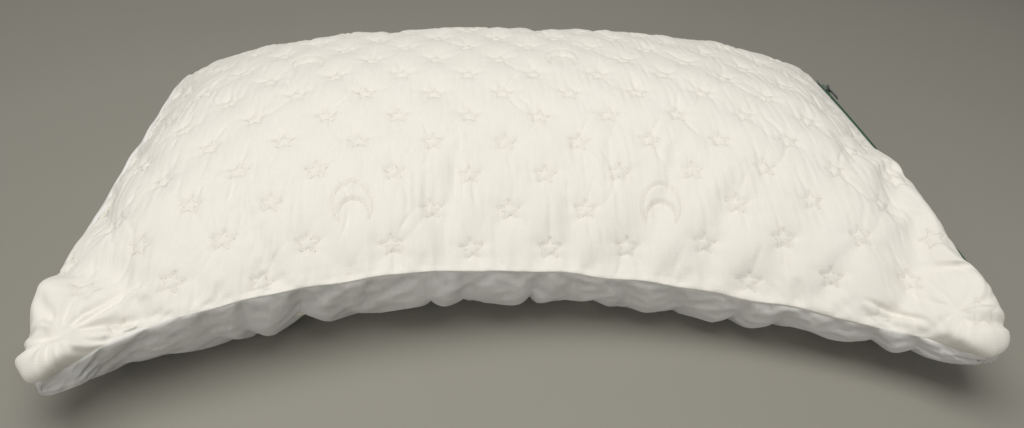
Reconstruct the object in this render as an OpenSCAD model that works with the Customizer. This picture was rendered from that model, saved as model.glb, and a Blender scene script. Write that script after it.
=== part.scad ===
// Curved bed pillow: a quilted top panel and a plush bottom panel sewn into a
// zipped cover, over a zipped liner that holds shredded foam.
// Millimetres. X runs along the pillow, Y from front to back, Z up.
// The origin is at the centre of the footprint, on the surface it rests on.

/* [Pillow] */
// Width from end to end, before the corners are rounded
pillow_w = 740; // [600:5:900]
// Depth of the ends from the front corner to the back corner
pillow_d = 494; // [400:2:600]
// Height of the crown above the surface it rests on
pillow_t = 135; // [110:1:180]
// How far both ends sweep forwards, which makes the pillow a crescent
sweep = 86; // [0:1:110]
// How far the middle of each long edge pulls in as the pillow fills
edge_pull = 32; // [0:1:60]
// How far the middle of each end pulls in
end_pull = 14; // [5:1:30]
// How much each corner is drawn in, as a share of its distance from the centre
corner_draw = 0.075; // [0:0.005:0.12]

/* [Seam] */
// Height of the seam at the four corners
seam_corner = 58; // [46:1:62]
// Height of the seam at the middle of the front and back
seam_middle = 66; // [63:1:76]
// Height of the seam at the middle of each end
seam_end = 78; // [72:1:92]
// Room between the two panels at the seam, which the stitches fill
seam_gap = 0.2; // [0.1:0.05:0.5]

/* [Cover layers] */
// Thickness of the knitted face of the top panel
face_t = 1.2; // [0.8:0.1:2]
// Thickness of the quilting wadding
wadding_t = 4.5; // [2:0.1:8]
// Thickness of the cloth behind the wadding
backing_t = 0.8; // [0.5:0.1:1.5]
// Thickness of the plush bottom panel
plush_t = 3; // [2:0.1:5]

/* [Liner] */
// Room between the cover and the liner
liner_room = 0.5; // [0.3:0.1:2]
// Thickness of the liner cloth
liner_t = 1; // [0.6:0.1:2]
// Room between the liner and the filling
fill_room = 0.8; // [0.6:0.1:2]

/* [Zips] */
// Length of the cover zip along the end seam
cover_zip_len = 326; // [240:2:360]
// Length of the liner zip
liner_zip_len = 250; // [160:2:290]
// Width of one cover zip tape that shows beside the seam line
cover_tape_w = 9; // [7:0.5:12]
// Width of one liner zip tape that shows beside the seam line
liner_tape_w = 7; // [6:0.5:8]
// Height of the cover zip coil above its tape
cover_coil_h = 2.4; // [2:0.1:3]
// Height of the liner zip coil above its tape
liner_coil_h = 1.6; // [1.2:0.1:1.8]
// Width of the whole cover coil, both sides together
cover_coil_w = 5.8; // [5:0.1:7]
// Width of the whole liner coil, both sides together
liner_coil_w = 4; // [3.5:0.1:5]
// Thickness of a zip tape
tape_t = 0.7; // [0.5:0.1:1]
// Gap between the edge of a tape and the panel that it is sewn to
tape_gap = 0.8; // [0.4:0.1:2]
// How far the cover zip is set in from the seam's edge
cover_zip_in = 1.5; // [0:0.1:3]
// How far the liner zip is set in from the liner's edge
liner_zip_in = 8; // [7.5:0.5:12]
// Running gap between a slider and its coil
slider_gap = 0.35; // [0.3:0.05:0.6]
// Length of the cover zip slider
cover_slider_len = 13; // [10:0.5:16]
// Length of the liner zip slider
liner_slider_len = 9; // [8:0.5:12]
// Length of the cover zip pull, from its pin
cover_pull_len = 26; // [18:1:34]
// Length of the liner zip pull, from its pin
liner_pull_len = 14; // [10:1:18]

/* [Label] */
// Width of the care label
label_w = 26; // [20:1:36]
// Length of the care label below the seam
label_l = 34; // [24:1:40]

/* [Hidden] */

// Colours
knit_colour = "#efece0";
plush_colour = "#f2f1ec";
wadding_colour = "#fbfbf8";
liner_colour = "#e6e4dd";
zip_green = "#1f4d36";
slider_grey = "#8d9290";
foam_colour = "#eee6c4";

// How the crown falls away towards the ends and towards the front and back:
// the power of the distance, and the power of what is left
crown_u = 4.2;
crown_v = 1.6;
crown_end = 0.71;
crown_edge = 0.77;
// Share of the crown above which the underside lies flat, and how sharply
// the underside turns in below the seam
belly_flat = 0.7;
belly_turn = 0.26;
// Power that keeps the drawing-in of a corner to the corner
corner_power = 8;

// Where each layer lies, measured in from the outside of the cover
backing_in = face_t + wadding_t;
cover_in = backing_in + backing_t;
liner_out = cover_in + liner_room;
liner_in = liner_out + liner_t;
fill_in = liner_in + fill_room;
// The same under the pillow, where the cover is one plush panel
liner_under = plush_t + liner_room;
fill_under = liner_under + liner_t + fill_room;

// Half height of the slot that a zip fills between the two panels
cover_slot = cover_tape_w + tape_gap;
liner_slot = liner_tape_w + tape_gap;

// The footprint is not symmetrical from front to back, so it is shifted
front_reach = pillow_d/2*(1 - corner_draw) + sweep;
back_reach = pillow_d/2 - edge_pull;
y_shift = (front_reach - back_reach)/2;

// Grid of the panels: u runs from end to end and v from front to back, each
// from -1 to 1, and both are closer together near the seam
u_cells = 24;
u_list = [for (i = [0:u_cells]) sin(90*(2*i/u_cells - 1))];
zip_v = (cover_zip_len/2 + 8)/(pillow_d/2);
v_outer = [for (k = [4:-1:1]) zip_v + (1 - zip_v)*sin(90*k/4)];
v_inner = [for (k = [-4:4]) zip_v*k/4];
v_list = concat([for (v = v_outer) -v], v_inner, [for (k = [3:-1:0]) v_outer[k]]);
u_last = len(u_list) - 1;
v_last = len(v_list) - 1;

// The end seam is an arc in a leaning plane. It rises from the corners to
// the middle by end_rise and comes in by end_pull.
end_rise = seam_end - seam_corner;
end_sag = norm([end_pull, end_rise]);
end_r = (pillow_d*pillow_d/4 + end_sag*end_sag)/(2*end_sag);
// Unit vector from the middle of the end seam to the centre of its arc
to_centre = [end_pull, 0, -end_rise]/end_sag;
end_lean = atan2(end_rise, end_pull);

// Sizes of the small zip parts
stop_len = 3;
stop_h = 3;
slider_wall = 1.1;
pin_r = 0.7;
pin_play = 0.08;
eye_wall = 0.8;
post_w = 1;
pull_t = 1.2;
pull_side_gap = 0.3;
pull_clear = 0.35;
cover_pull_w = 6;
liner_pull_w = 4;
label_t = 0.6;
label_u = 0.4;
label_out = 0.3;
big_fn = 720;
small_fn = 32;

// Height of the seam surface
function seam_z(u, v) = seam_corner
    + (seam_middle - seam_corner)*(1 - u*u)
    + (seam_end - seam_corner)*(1 - v*v);
// Rise of the crown, 0 at the seam and 1 in the middle
function crown(u, v) = pow(max(0, 1 - pow(abs(u), crown_u)), crown_end)
    *pow(max(0, 1 - pow(abs(v), crown_v)), crown_edge);
// Where the underside lies, 0 at the seam and 1 where it is flat
function belly(u, v) = pow(min(1, crown(u, v)/belly_flat), belly_turn);
function corner_in(u, v) = 1 - corner_draw*pow(u*v, corner_power);
// A point of the outline, in by "in" from the outside of the cover
function plan_x(u, v, in) = u*(pillow_w/2 - in - end_pull*(1 - v*v))*corner_in(u, v);
function plan_y(u, v, in) = v*(pillow_d/2 - in - edge_pull*(1 - u*u))*corner_in(u, v)
    - sweep*u*u + y_shift;
// How far the zip opens the seam here, from 0 to 1
function zip_open(u, v) = u <= 0 || abs(v) > zip_v + 0.001 ? 0 : u*u;

// How the slot and the setting-in of a zip move a point, where "near" is 1 at
// the seam and side is 1 above the slot and -1 below it
function zip_move(u, v, near, slot, set_in, side) =
    zip_open(u, v)*near*(-side*slot*to_centre - [set_in*near, 0, 0]);

function top_point(u, v, in, slot, set_in) =
    [plan_x(u, v, in), plan_y(u, v, in),
        seam_z(u, v) + (pillow_t - in - seam_z(u, v))*crown(u, v)]
    + zip_move(u, v, 1 - crown(u, v), slot, set_in, 1);
function under_point(u, v, in, under, slot, set_in) =
    [plan_x(u, v, in), plan_y(u, v, in),
        under + (seam_z(u, v) - seam_gap - under)*(1 - belly(u, v))]
    + zip_move(u, v, 1 - belly(u, v), slot, set_in, -1);

function top_sheet(in, slot, set_in) =
    [for (u = u_list) for (v = v_list) top_point(u, v, in, slot, set_in)];
function under_sheet(in, under, slot, set_in) =
    [for (u = u_list) for (v = v_list) under_point(u, v, in, under, slot, set_in)];

// Number of a grid point, and the numbers along the rim, anticlockwise
// seen from above
function at(i, j) = i*(v_last + 1) + j;
rim = concat([for (i = [0:u_last - 1]) at(i, 0)],
    [for (j = [0:v_last - 1]) at(u_last, j)],
    [for (i = [u_last:-1:1]) at(i, v_last)],
    [for (j = [v_last:-1:1]) at(0, j)]);
grid_points = (u_last + 1)*(v_last + 1);

// Triangles of one sheet, facing up or down, numbered from "first"
function sheet_faces(first, up) =
    [for (i = [0:u_last - 1]) for (j = [0:v_last - 1]) for (half = [0, 1])
        let (a = at(i, j), b = at(i + 1, j), c = at(i + 1, j + 1), d = at(i, j + 1))
        let (t = half == 0 ? [a, b, c] : [a, c, d])
        up ? [first + t[2], first + t[1], first + t[0]]
            : [first + t[0], first + t[1], first + t[2]]];
// Triangles that join the rim of the upper sheet to the rim of the lower one
function rim_faces() =
    [for (k = [0:len(rim) - 1]) for (half = [0, 1])
        let (a = rim[k], b = rim[(k + 1)%len(rim)])
        half == 0 ? [a, b, grid_points + b] : [a, grid_points + b, grid_points + a]];

// A closed solid between two sheets that have their own rims
module between(upper, lower) {
    polyhedron(
        points = concat(upper, lower),
        faces = concat(sheet_faces(0, true), sheet_faces(grid_points, false), rim_faces()),
        convexity = 6);
}

// A layer of the top, from one depth to another
module top_layer(outer_in, inner_in, slot, set_in) {
    between(top_sheet(outer_in, slot, set_in), top_sheet(inner_in, slot, set_in));
}

// A layer of the underside
module under_layer(outer_in, outer_under, inner_in, inner_under, slot, set_in) {
    between(under_sheet(inner_in, inner_under, slot, set_in),
        under_sheet(outer_in, outer_under, slot, set_in));
}

module top_panel_face() {
    color(knit_colour)
        top_layer(0, face_t, cover_slot, 0);
}

module top_panel_wadding() {
    color(wadding_colour)
        top_layer(face_t, backing_in, cover_slot, 0);
}

module top_panel_backing() {
    color(wadding_colour)
        top_layer(backing_in, cover_in, cover_slot, 0);
}

module bottom_panel() {
    color(plush_colour)
        under_layer(0, 0, cover_in, plush_t, cover_slot, 0);
}

module liner_top_panel() {
    color(liner_colour)
        top_layer(liner_out, liner_in, liner_slot, liner_zip_in);
}

module liner_bottom_panel() {
    color(liner_colour)
        under_layer(liner_out, liner_under, liner_in, liner_under + liner_t,
            liner_slot, liner_zip_in);
}

// The filling comes to a thin edge at the seam, and is dented by the liner zip
module foam_fill() {
    set_in = liner_zip_in + 2*stop_h;
    color(foam_colour)
        between(top_sheet(fill_in, 0, set_in), under_sheet(fill_in, fill_under, 0, set_in));
}

// A blank label that hangs from the back seam, square to the edge there
module care_label() {
    u_step = 0.02;
    here = [plan_x(label_u, 1, 0), plan_y(label_u, 1, 0)];
    next = [plan_x(label_u + u_step, 1, 0), plan_y(label_u + u_step, 1, 0)];
    turn = atan2(next[1] - here[1], next[0] - here[0]);
    color(wadding_colour)
        translate([here[0], here[1], seam_z(label_u, 1) - label_l])
        rotate([0, 0, turn])
        translate([-label_w/2, label_out, 0])
        cube([label_w, label_t, label_l]);
}

// Places the parts of a zip. Inside it the axis of the seam's arc is Z, X
// points at the middle of the seam, the tape lies on Z = 0 and Z points out.
// The slider of a shut zip then rests at the back end of the seam.
module zip_place(in) {
    mid = [pillow_w/2 - end_pull - in, y_shift - sweep, seam_end];
    translate(mid + to_centre*end_r)
        rotate([0, end_lean, 0])
        rotate([0, 0, 180])
        mirror([0, 1, 0])
        children();
}

// Angle that a length takes up along the seam's arc
function arc_angle(length) = length/end_r*180/PI;

// A section swept along the seam from one angle to another. The section's
// first coordinate is the distance from the seam line, its second the height.
module sweep_section(from_angle, to_angle, points) {
    rotate([0, 0, from_angle])
        rotate_extrude(angle = to_angle - from_angle, $fn = big_fn)
        translate([end_r, 0])
        polygon(points);
}

// One tape. side is 1 above the seam line and -1 below it.
module tape(zip_len, tape_w, coil_w, side) {
    half = arc_angle(zip_len/2);
    edge = coil_w/4;
    sweep_section(-half, half,
        [[side*edge, 0], [side*tape_w, 0], [side*tape_w, tape_t], [side*edge, tape_t]]);
}

// Half of the coil, with its outer corner taken off
module coil(zip_len, coil_w, coil_h, side) {
    half = arc_angle(zip_len/2 - 2*stop_len);
    w = coil_w/2;
    bevel = coil_h*0.4;
    top = tape_t + coil_h;
    sweep_section(-half, half,
        [[0, tape_t], [side*w, tape_t], [side*w, top - bevel],
            [side*(w - bevel), top], [0, top]]);
}

// A stop across both halves of the coil. end is 1 at the front, -1 behind.
module stop(zip_len, coil_w, end) {
    near = arc_angle(zip_len/2 - 2*stop_len)*end;
    far = arc_angle(zip_len/2 - stop_len)*end;
    w = coil_w/2;
    sweep_section(min(near, far), max(near, far),
        [[-w, tape_t], [w, tape_t], [w, tape_t + stop_h], [-w, tape_t + stop_h]]);
}

// Height of the pull's pin above the tape
function pin_z(coil_h) = tape_t + coil_h + slider_gap + slider_wall
    + pull_clear + pin_r + pin_play + eye_wall;
// Angle of the middle of the slider when the zip is shut
function shut_angle(zip_len, slider_len) =
    arc_angle(zip_len/2 - 2*stop_len - slider_gap - slider_len/2);

// The slider: a shoe that wraps the coil, with two posts and a pin for the pull
module slider(zip_len, slider_len, coil_w, coil_h, pull_w) {
    middle = shut_angle(zip_len, slider_len);
    half = arc_angle(slider_len/2);
    inner = coil_w/2 + slider_gap;
    outer = inner + slider_wall;
    under = tape_t + slider_gap;
    roof = tape_t + coil_h + slider_gap;
    crest = roof + slider_wall;
    post_foot = crest - slider_wall/2;
    post_in = pull_w/2 + pull_side_gap;
    post_top = pin_z(coil_h) + pin_r + pin_play + eye_wall;
    post_len = 2*(pin_r + pin_play + eye_wall);
    sweep_section(middle - half, middle + half,
        [[-outer, under], [-inner, under], [-inner, roof], [inner, roof],
            [inner, under], [outer, under], [outer, crest], [-outer, crest]]);
    rotate([0, 0, middle])
        translate([end_r, 0, 0]) {
            for (side = [-1, 1])
                translate([side*(post_in + post_w/2), 0, (post_foot + post_top)/2])
                cube([post_w, post_len, post_top - post_foot], center = true);
            translate([0, 0, pin_z(coil_h)])
                rotate([0, 90, 0])
                cylinder(r = pin_r, h = 2*post_in, center = true, $fn = small_fn);
        }
}

// The pull: an eye on the slider's pin and a slotted tab that lies back
// along the zip
module pull(zip_len, slider_len, coil_h, pull_len, pull_w) {
    middle = shut_angle(zip_len, slider_len);
    eye_r = pin_r + pin_play + eye_wall;
    slot_w = pull_w*0.4;
    slot_l = pull_len*0.4;
    rotate([0, 0, middle])
        translate([end_r, 0, pin_z(coil_h)])
        difference() {
            union() {
                rotate([0, 90, 0])
                    cylinder(r = eye_r, h = pull_w, center = true, $fn = small_fn);
                translate([-pull_w/2, -pull_len, -pull_t/2])
                    cube([pull_w, pull_len, pull_t]);
            }
            rotate([0, 90, 0])
                cylinder(r = pin_r + pin_play, h = pull_w + 2, center = true, $fn = small_fn);
            translate([-slot_w/2, -pull_len*0.9, -pull_t])
                cube([slot_w, slot_l, 2*pull_t]);
        }
}

// How far in from the cover's rim the inner face of each zip's tapes lies
cover_tape_in = cover_zip_in + tape_t;
liner_tape_in = liner_out + liner_zip_in + tape_t;

module cover_zip_upper_tape() {
    color(zip_green) zip_place(cover_tape_in) tape(cover_zip_len, cover_tape_w, cover_coil_w, 1);
}

module cover_zip_lower_tape() {
    color(zip_green) zip_place(cover_tape_in) tape(cover_zip_len, cover_tape_w, cover_coil_w, -1);
}

module cover_zip_upper_coil() {
    color(zip_green) zip_place(cover_tape_in) coil(cover_zip_len, cover_coil_w, cover_coil_h, 1);
}

module cover_zip_lower_coil() {
    color(zip_green) zip_place(cover_tape_in) coil(cover_zip_len, cover_coil_w, cover_coil_h, -1);
}

module cover_zip_slider() {
    color(slider_grey) zip_place(cover_tape_in)
        slider(cover_zip_len, cover_slider_len, cover_coil_w, cover_coil_h, cover_pull_w);
}

module cover_zip_pull() {
    color(slider_grey) zip_place(cover_tape_in)
        pull(cover_zip_len, cover_slider_len, cover_coil_h, cover_pull_len, cover_pull_w);
}

module cover_zip_top_stop() {
    color(slider_grey) zip_place(cover_tape_in) stop(cover_zip_len, cover_coil_w, 1);
}

module cover_zip_bottom_stop() {
    color(slider_grey) zip_place(cover_tape_in) stop(cover_zip_len, cover_coil_w, -1);
}

module liner_zip_upper_tape() {
    color(liner_colour) zip_place(liner_tape_in) tape(liner_zip_len, liner_tape_w, liner_coil_w, 1);
}

module liner_zip_lower_tape() {
    color(liner_colour) zip_place(liner_tape_in) tape(liner_zip_len, liner_tape_w, liner_coil_w, -1);
}

module liner_zip_upper_coil() {
    color(liner_colour) zip_place(liner_tape_in) coil(liner_zip_len, liner_coil_w, liner_coil_h, 1);
}

module liner_zip_lower_coil() {
    color(liner_colour) zip_place(liner_tape_in) coil(liner_zip_len, liner_coil_w, liner_coil_h, -1);
}

module liner_zip_slider() {
    color(slider_grey) zip_place(liner_tape_in)
        slider(liner_zip_len, liner_slider_len, liner_coil_w, liner_coil_h, liner_pull_w);
}

module liner_zip_pull() {
    color(slider_grey) zip_place(liner_tape_in)
        pull(liner_zip_len, liner_slider_len, liner_coil_h, liner_pull_len, liner_pull_w);
}

module liner_zip_top_stop() {
    color(slider_grey) zip_place(liner_tape_in) stop(liner_zip_len, liner_coil_w, 1);
}

module liner_zip_bottom_stop() {
    color(slider_grey) zip_place(liner_tape_in) stop(liner_zip_len, liner_coil_w, -1);
}

top_panel_face();
top_panel_wadding();
top_panel_backing();
bottom_panel();
care_label();
cover_zip_upper_tape();
cover_zip_lower_tape();
cover_zip_upper_coil();
cover_zip_lower_coil();
cover_zip_slider();
cover_zip_pull();
cover_zip_top_stop();
cover_zip_bottom_stop();
liner_top_panel();
liner_bottom_panel();
liner_zip_upper_tape();
liner_zip_lower_tape();
liner_zip_upper_coil();
liner_zip_lower_coil();
liner_zip_slider();
liner_zip_pull();
liner_zip_top_stop();
liner_zip_bottom_stop();
foam_fill();
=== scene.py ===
# %% [markdown]
# # A curved bed pillow
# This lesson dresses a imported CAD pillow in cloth. The CAD model says how big the pillow is, where its seam
# runs and how its zips move. Here we add what makes it a pillow: quilting, plush, folds, thread and light.
# Everything is in metres, in the CAD model's own frame, so nothing has to be fitted afterwards.

# %% Load the fixed frame
import math

import bpy
import numpy as np
from mathutils import Matrix, Vector


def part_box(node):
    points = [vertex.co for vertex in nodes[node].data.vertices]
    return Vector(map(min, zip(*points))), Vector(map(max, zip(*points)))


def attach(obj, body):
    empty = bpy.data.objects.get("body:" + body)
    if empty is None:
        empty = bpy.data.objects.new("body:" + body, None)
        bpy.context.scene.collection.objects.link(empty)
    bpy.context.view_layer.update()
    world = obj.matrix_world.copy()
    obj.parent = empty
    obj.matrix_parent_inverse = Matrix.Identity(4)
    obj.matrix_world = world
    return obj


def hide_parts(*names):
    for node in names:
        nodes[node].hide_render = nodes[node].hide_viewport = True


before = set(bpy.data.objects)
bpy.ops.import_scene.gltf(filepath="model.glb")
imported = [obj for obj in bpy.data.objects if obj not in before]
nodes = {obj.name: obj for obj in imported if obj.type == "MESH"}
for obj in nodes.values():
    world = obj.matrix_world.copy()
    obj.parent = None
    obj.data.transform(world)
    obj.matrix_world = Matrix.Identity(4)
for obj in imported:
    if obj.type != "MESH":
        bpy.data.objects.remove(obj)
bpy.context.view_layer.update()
MM = 0.001

# %% [markdown]
# ## The camera
# The picture is taken from in front and above, a little to the left of the middle, and the camera is tipped
# by about two degrees. A camera can be aimed with a constraint, but here its three axes are worked out from
# yaw, pitch and roll, because that keeps the tip of the horizon.

# %% Camera
camera_place = Vector((-49.5, -621.8, 465.1)) * MM
yaw, pitch, roll = 0.082, 0.652, -0.036
focal_share = 0.7324

level = Vector((math.cos(yaw), -math.sin(yaw), 0))
ahead = Vector((math.sin(yaw) * math.cos(pitch), math.cos(yaw) * math.cos(pitch), -math.sin(pitch)))
upward = level.cross(ahead)
right = level * math.cos(roll) - upward * math.sin(roll)
upward = level * math.sin(roll) + upward * math.cos(roll)
lens_data = bpy.data.cameras.new("camera")
lens_data.sensor_width = 36
lens_data.lens = lens_data.sensor_width * focal_share
camera = bpy.data.objects.new("camera", lens_data)
camera.matrix_world = Matrix.Translation(camera_place) @ Matrix((right, upward, -ahead)).transposed().to_4x4()
bpy.context.scene.collection.objects.link(camera)
bpy.context.scene.camera = camera
print("lens in mm:", round(lens_data.lens, 1))

# %% [markdown]
# ## The shape of a filled pillow
# Two flat panels are sewn together and stuffed, so each becomes a dome over the same curved seam. One pair
# of numbers, u from end to end and v from front to back, both from -1 to 1, names a point on either panel.
# A formula turns them into a place. It could be sculpted by hand, but a formula lets every hidden layer
# nest inside the next one, and it repeats the sizes that the CAD model was made with.

# %% The driving sizes
pillow_w, pillow_d = 740 * MM, 494 * MM
pillow_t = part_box("top_panel_face")[1].z
sweep, edge_pull, end_pull = 86 * MM, 32 * MM, 14 * MM
corner_draw, corner_power = 0.075, 8
seam_corner, seam_middle, seam_end = 58 * MM, 66 * MM, 78 * MM
cover_zip_len, liner_zip_len = 326 * MM, 250 * MM
y_shift = (pillow_d / 2 * (1 - corner_draw) + sweep - pillow_d / 2 + edge_pull) / 2

back_of_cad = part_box("top_panel_face")[1].y
back_of_formula = pillow_d / 2 - edge_pull + y_shift
print("back edge, CAD and formula, in mm:", round(back_of_cad / MM, 1), round(back_of_formula / MM, 1))
if abs(back_of_cad - back_of_formula) > MM:
    raise SystemExit("the driving sizes no longer match the CAD model")

# %% [markdown]
# A real pillow is never quite even. The front seam is a little higher at the left than at the right, and the
# front edge bulges towards us. Waves with fixed phases add the small unevenness of hand-filled cloth. They
# are sums of sines, so the result is the same in every run.

# %% Unevenness
front_lean, front_drop, front_out = -27.8 * MM, -2.3 * MM, -10.4 * MM


def bell(distance, width):
    """1 at distance 0, falling smoothly to almost 0 at twice the width."""
    return np.exp(-((distance / width) ** 2))


def waves(place, lengths, seed):
    """A smooth value of about -1 to 1 at each place, made of one sine for each wave length."""
    chance = np.random.default_rng(seed)
    total = 0
    for length in lengths:
        total = total + np.sin(2 * math.pi * place / length + chance.uniform(0, 2 * math.pi))
    return total / len(lengths)


def lumps(x, y, lengths, seed):
    """As waves(), over a plane: the sines run in directions of their own."""
    chance = np.random.default_rng(seed)
    total = 0
    for length in lengths:
        for turn in chance.uniform(0, math.pi, 3):
            along = x * math.cos(turn) + y * math.sin(turn)
            total = total + np.sin(2 * math.pi * along / length + chance.uniform(0, 2 * math.pi))
    return total / (1.7 * len(lengths))


# %% [markdown]
# The front corners are the odd part. Each is gathered, so it fills out into a soft knob with a neck behind
# it. The knob is made in the same formula: close to a front corner the dome rises faster, and a little
# further in there is a shallow waist.

# %% The two panels as formulas
crown_u, crown_v, crown_end, crown_edge = 4.2, 1.6, 0.84, 0.77
belly_flat, belly_turn = 0.7, 0.26
knob_size, knob_fill = 46 * MM, 0.42
neck_place, neck_width, neck_depth = 82 * MM, 24 * MM, 0.3
corner_lift, lift_reach = 24 * MM, 70 * MM
corner_drop, drop_reach = 8 * MM, 55 * MM
zip_v = (cover_zip_len / 2 + 8 * MM) / (pillow_d / 2)
lean = np.array([end_pull, 0, -(seam_end - seam_corner)])
to_centre = lean / np.linalg.norm(lean)


def from_corner(u, v):
    """Distance from the nearer front corner, over the cloth."""
    return np.hypot((1 - abs(u)) * pillow_w / 2, (1 + v) * pillow_d / 2)


def crown(u, v):
    """Rise of the dome, 0 at the seam and 1 in the middle."""
    near = bell(from_corner(u, v), knob_size)
    ends = np.maximum(0, 1 - abs(u) ** crown_u) ** (crown_end + (knob_fill - crown_end) * near)
    edges = np.maximum(0, 1 - abs(v) ** crown_v) ** (crown_edge + (knob_fill - crown_edge) * near)
    neck = neck_depth * bell(from_corner(u, v) - neck_place, neck_width)
    return ends * edges * (1 - neck)


def belly(u, v):
    """How far the underside has come down, 0 at the seam and 1 where it lies flat."""
    return np.minimum(1, crown(u, v) / belly_flat) ** belly_turn


def front(u, v):
    """1 in the middle of the front edge, falling to 0 at the ends and at the back."""
    return (1 - u**2) * ((1 - v) / 2) ** 2


def zip_open(u, v):
    """How far the end seam is open for the zip here, from 0 to 1."""
    past = np.clip((abs(v) - zip_v) / 0.04, 0, 1)
    return np.where(u > 0, u**2, 0) * (1 - past * past * (3 - 2 * past))


def plan(u, v, inset):
    corner = 1 - corner_draw * (u * v) ** corner_power
    x = u * (pillow_w / 2 - inset - end_pull * (1 - v**2)) * corner
    y = v * (pillow_d / 2 - inset - edge_pull * (1 - u**2)) * corner - sweep * u**2 + y_shift
    return x, y + front_out * front(u, v)


def seam_height(u, v):
    even = seam_corner + (seam_middle - seam_corner) * (1 - u**2) + (seam_end - seam_corner) * (1 - v**2)
    x, y = plan(u, v, 0)
    ripple = 1.6 * MM * lumps(x, y, (95 * MM, 47 * MM), 3) * (1 - zip_open(u, v))
    dropped = corner_drop * bell(from_corner(u, v), drop_reach)
    return even + (front_lean * u + front_drop) * front(u, v) + ripple - dropped


def zip_shift(u, v, near, slot, set_in, side):
    """Opens the seam for a zip: the panel draws back from the seam line, and the liner's also goes in."""
    shift = -side * slot * to_centre - (set_in * near)[..., None] * np.array([1, 0, 0])
    return (zip_open(u, v) * near)[..., None] * shift


def top_surface(u, v, inset, slot, set_in=0.0):
    x, y = plan(u, v, inset)
    rise, seam = crown(u, v), seam_height(u, v)
    z = seam + (pillow_t - inset - seam) * rise
    return np.stack([x, y, z], -1) + zip_shift(u, v, 1 - rise, slot, set_in, 1)


def under_surface(u, v, inset, floor_gap, slot, set_in=0.0):
    x, y = plan(u, v, inset)
    fall, seam = belly(u, v), seam_height(u, v)
    lowest = floor_gap + corner_lift * bell(from_corner(u, v), lift_reach)
    z = lowest + (seam - lowest) * (1 - fall)
    return np.stack([x, y, z], -1) + zip_shift(u, v, 1 - fall, slot, set_in, -1)


# %% [markdown]
# ## Grids that spend their points well
# The panels stand almost upright at the seam, so equal steps of u and v would leave long thin faces there.
# Instead the steps are equal along the cloth. The fine outer grid and the coarse inner grid of a layer share
# every eighth point, which lets a simple strip of triangles close the shell at its edge.

# %% Even grids
COARSE_STEP = 8


def even_steps(surface, along_u, cells):
    """Values from -1 to 1 that are evenly spaced along the middle line of a surface."""
    even = np.linspace(-1, 1, 16001)
    dense = np.sign(even) * (1 - (1 - abs(even)) ** 6)
    zero = np.zeros_like(dense)
    line = surface(dense, zero) if along_u else surface(zero, dense)
    steps = np.linalg.norm(np.diff(line, axis=0), axis=1)
    length = np.concatenate([[0], np.cumsum(steps)])
    values = np.interp(np.linspace(0, length[-1], cells + 1), length, dense)
    values[[0, -1]] = -1, 1
    return values


def make_grid(surface, cells_u, cells_v):
    u = even_steps(surface, True, cells_u)
    v = even_steps(surface, False, cells_v)
    return np.meshgrid(u, v, indexing="ij")


panel_slot = 7.2 * MM
top_u, top_v = make_grid(lambda u, v: top_surface(u, v, 0, 0), 54 * COARSE_STEP, 38 * COARSE_STEP)
under_u, under_v = make_grid(lambda u, v: under_surface(u, v, 0, 0, 0), 34 * COARSE_STEP, 24 * COARSE_STEP)
print("points of the top and the underside:", top_u.size, under_u.size)

# %% [markdown]
# The quilting is stitched while the cloth is still flat, so its rows are straight on the cloth and not in
# space. Two lengths measured over the dome, s from end to end and t from front to back, say where a point
# was on the flat cloth. They are sums of the small steps between grid points.


# %% Where each point was on the flat cloth
def from_middle(values, steps, axis):
    """Sums steps along an axis, with 0 where the grid crosses its own middle line."""
    total = np.cumsum(np.insert(steps, 0, 0, axis), axis)
    lines, sums = np.moveaxis(values, axis, -1), np.moveaxis(total, axis, -1)
    middle = [np.interp(0, line, line_sums) for line, line_sums in zip(lines, sums)]
    return total - np.expand_dims(middle, axis)


def cloth_lengths(u, v, points):
    across = np.linalg.norm(np.diff(points[..., [0, 2]], axis=0), axis=-1)
    along = np.linalg.norm(np.diff(points[..., [1, 2]], axis=1), axis=-1)
    s = from_middle(u, across, 0)
    t = from_middle(v, along, 1)
    return s, t + plan(u, np.zeros_like(v), 0)[1]


smooth_top = top_surface(top_u, top_v, 0, 0)
cloth_s, cloth_t = cloth_lengths(top_u, top_v, smooth_top)
edge_distance = np.minimum.reduce([
    cloth_s - cloth_s[:1], cloth_s[-1:] - cloth_s, cloth_t - cloth_t[:, :1], cloth_t[:, -1:] - cloth_t])
print("cloth from end to end and from front to back, in mm:",
      round(np.ptp(cloth_s) / MM), round(np.ptp(cloth_t[len(top_u) // 2]) / MM))

# %% [markdown]
# ## Quilting
# Small five-pointed stars stand in a staggered lattice, and here and there a crescent moon takes a star's
# place. The thread pulls the knit down along each outline, the wadding swells between them, and the cloth
# puckers towards the points. All of that is one height map over the cloth. A texture could fake it, but real
# relief gives the silhouette and the grazing light what they need.

# %% The lattice of motifs
motif_gap, row_gap = 63.5 * MM, 34.8 * MM
first_row, first_column = 21.2 * MM, 21 * MM
star_r, star_notch = 9.6 * MM, 4.4 * MM
moon_r, moon_bite_r, moon_bite_shift, moon_tall = 15.5 * MM, 12 * MM, 8 * MM, 1.45
moon_every_row, moon_every_star = 6, 4

middle_line = len(top_u) // 2
row_start = cloth_t[middle_line, 0] + first_row
first_motif_row, last_motif_row = [(place - row_start) / row_gap for place in (cloth_t.min(), cloth_t.max())]
rows = range(math.floor(first_motif_row), math.ceil(last_motif_row) + 1)


def row_offset(row):
    return first_column + (row % 2) * motif_gap / 2


def is_moon(row, column):
    return (row % moon_every_row == 1) & ((column + row // moon_every_row) % moon_every_star == 1)


def motif_tilt(row, column):
    """Each motif is turned a little, because cloth shifts under the needle."""
    return 0.16 * np.sin(12.9 * row + 7.1 * column)


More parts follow.
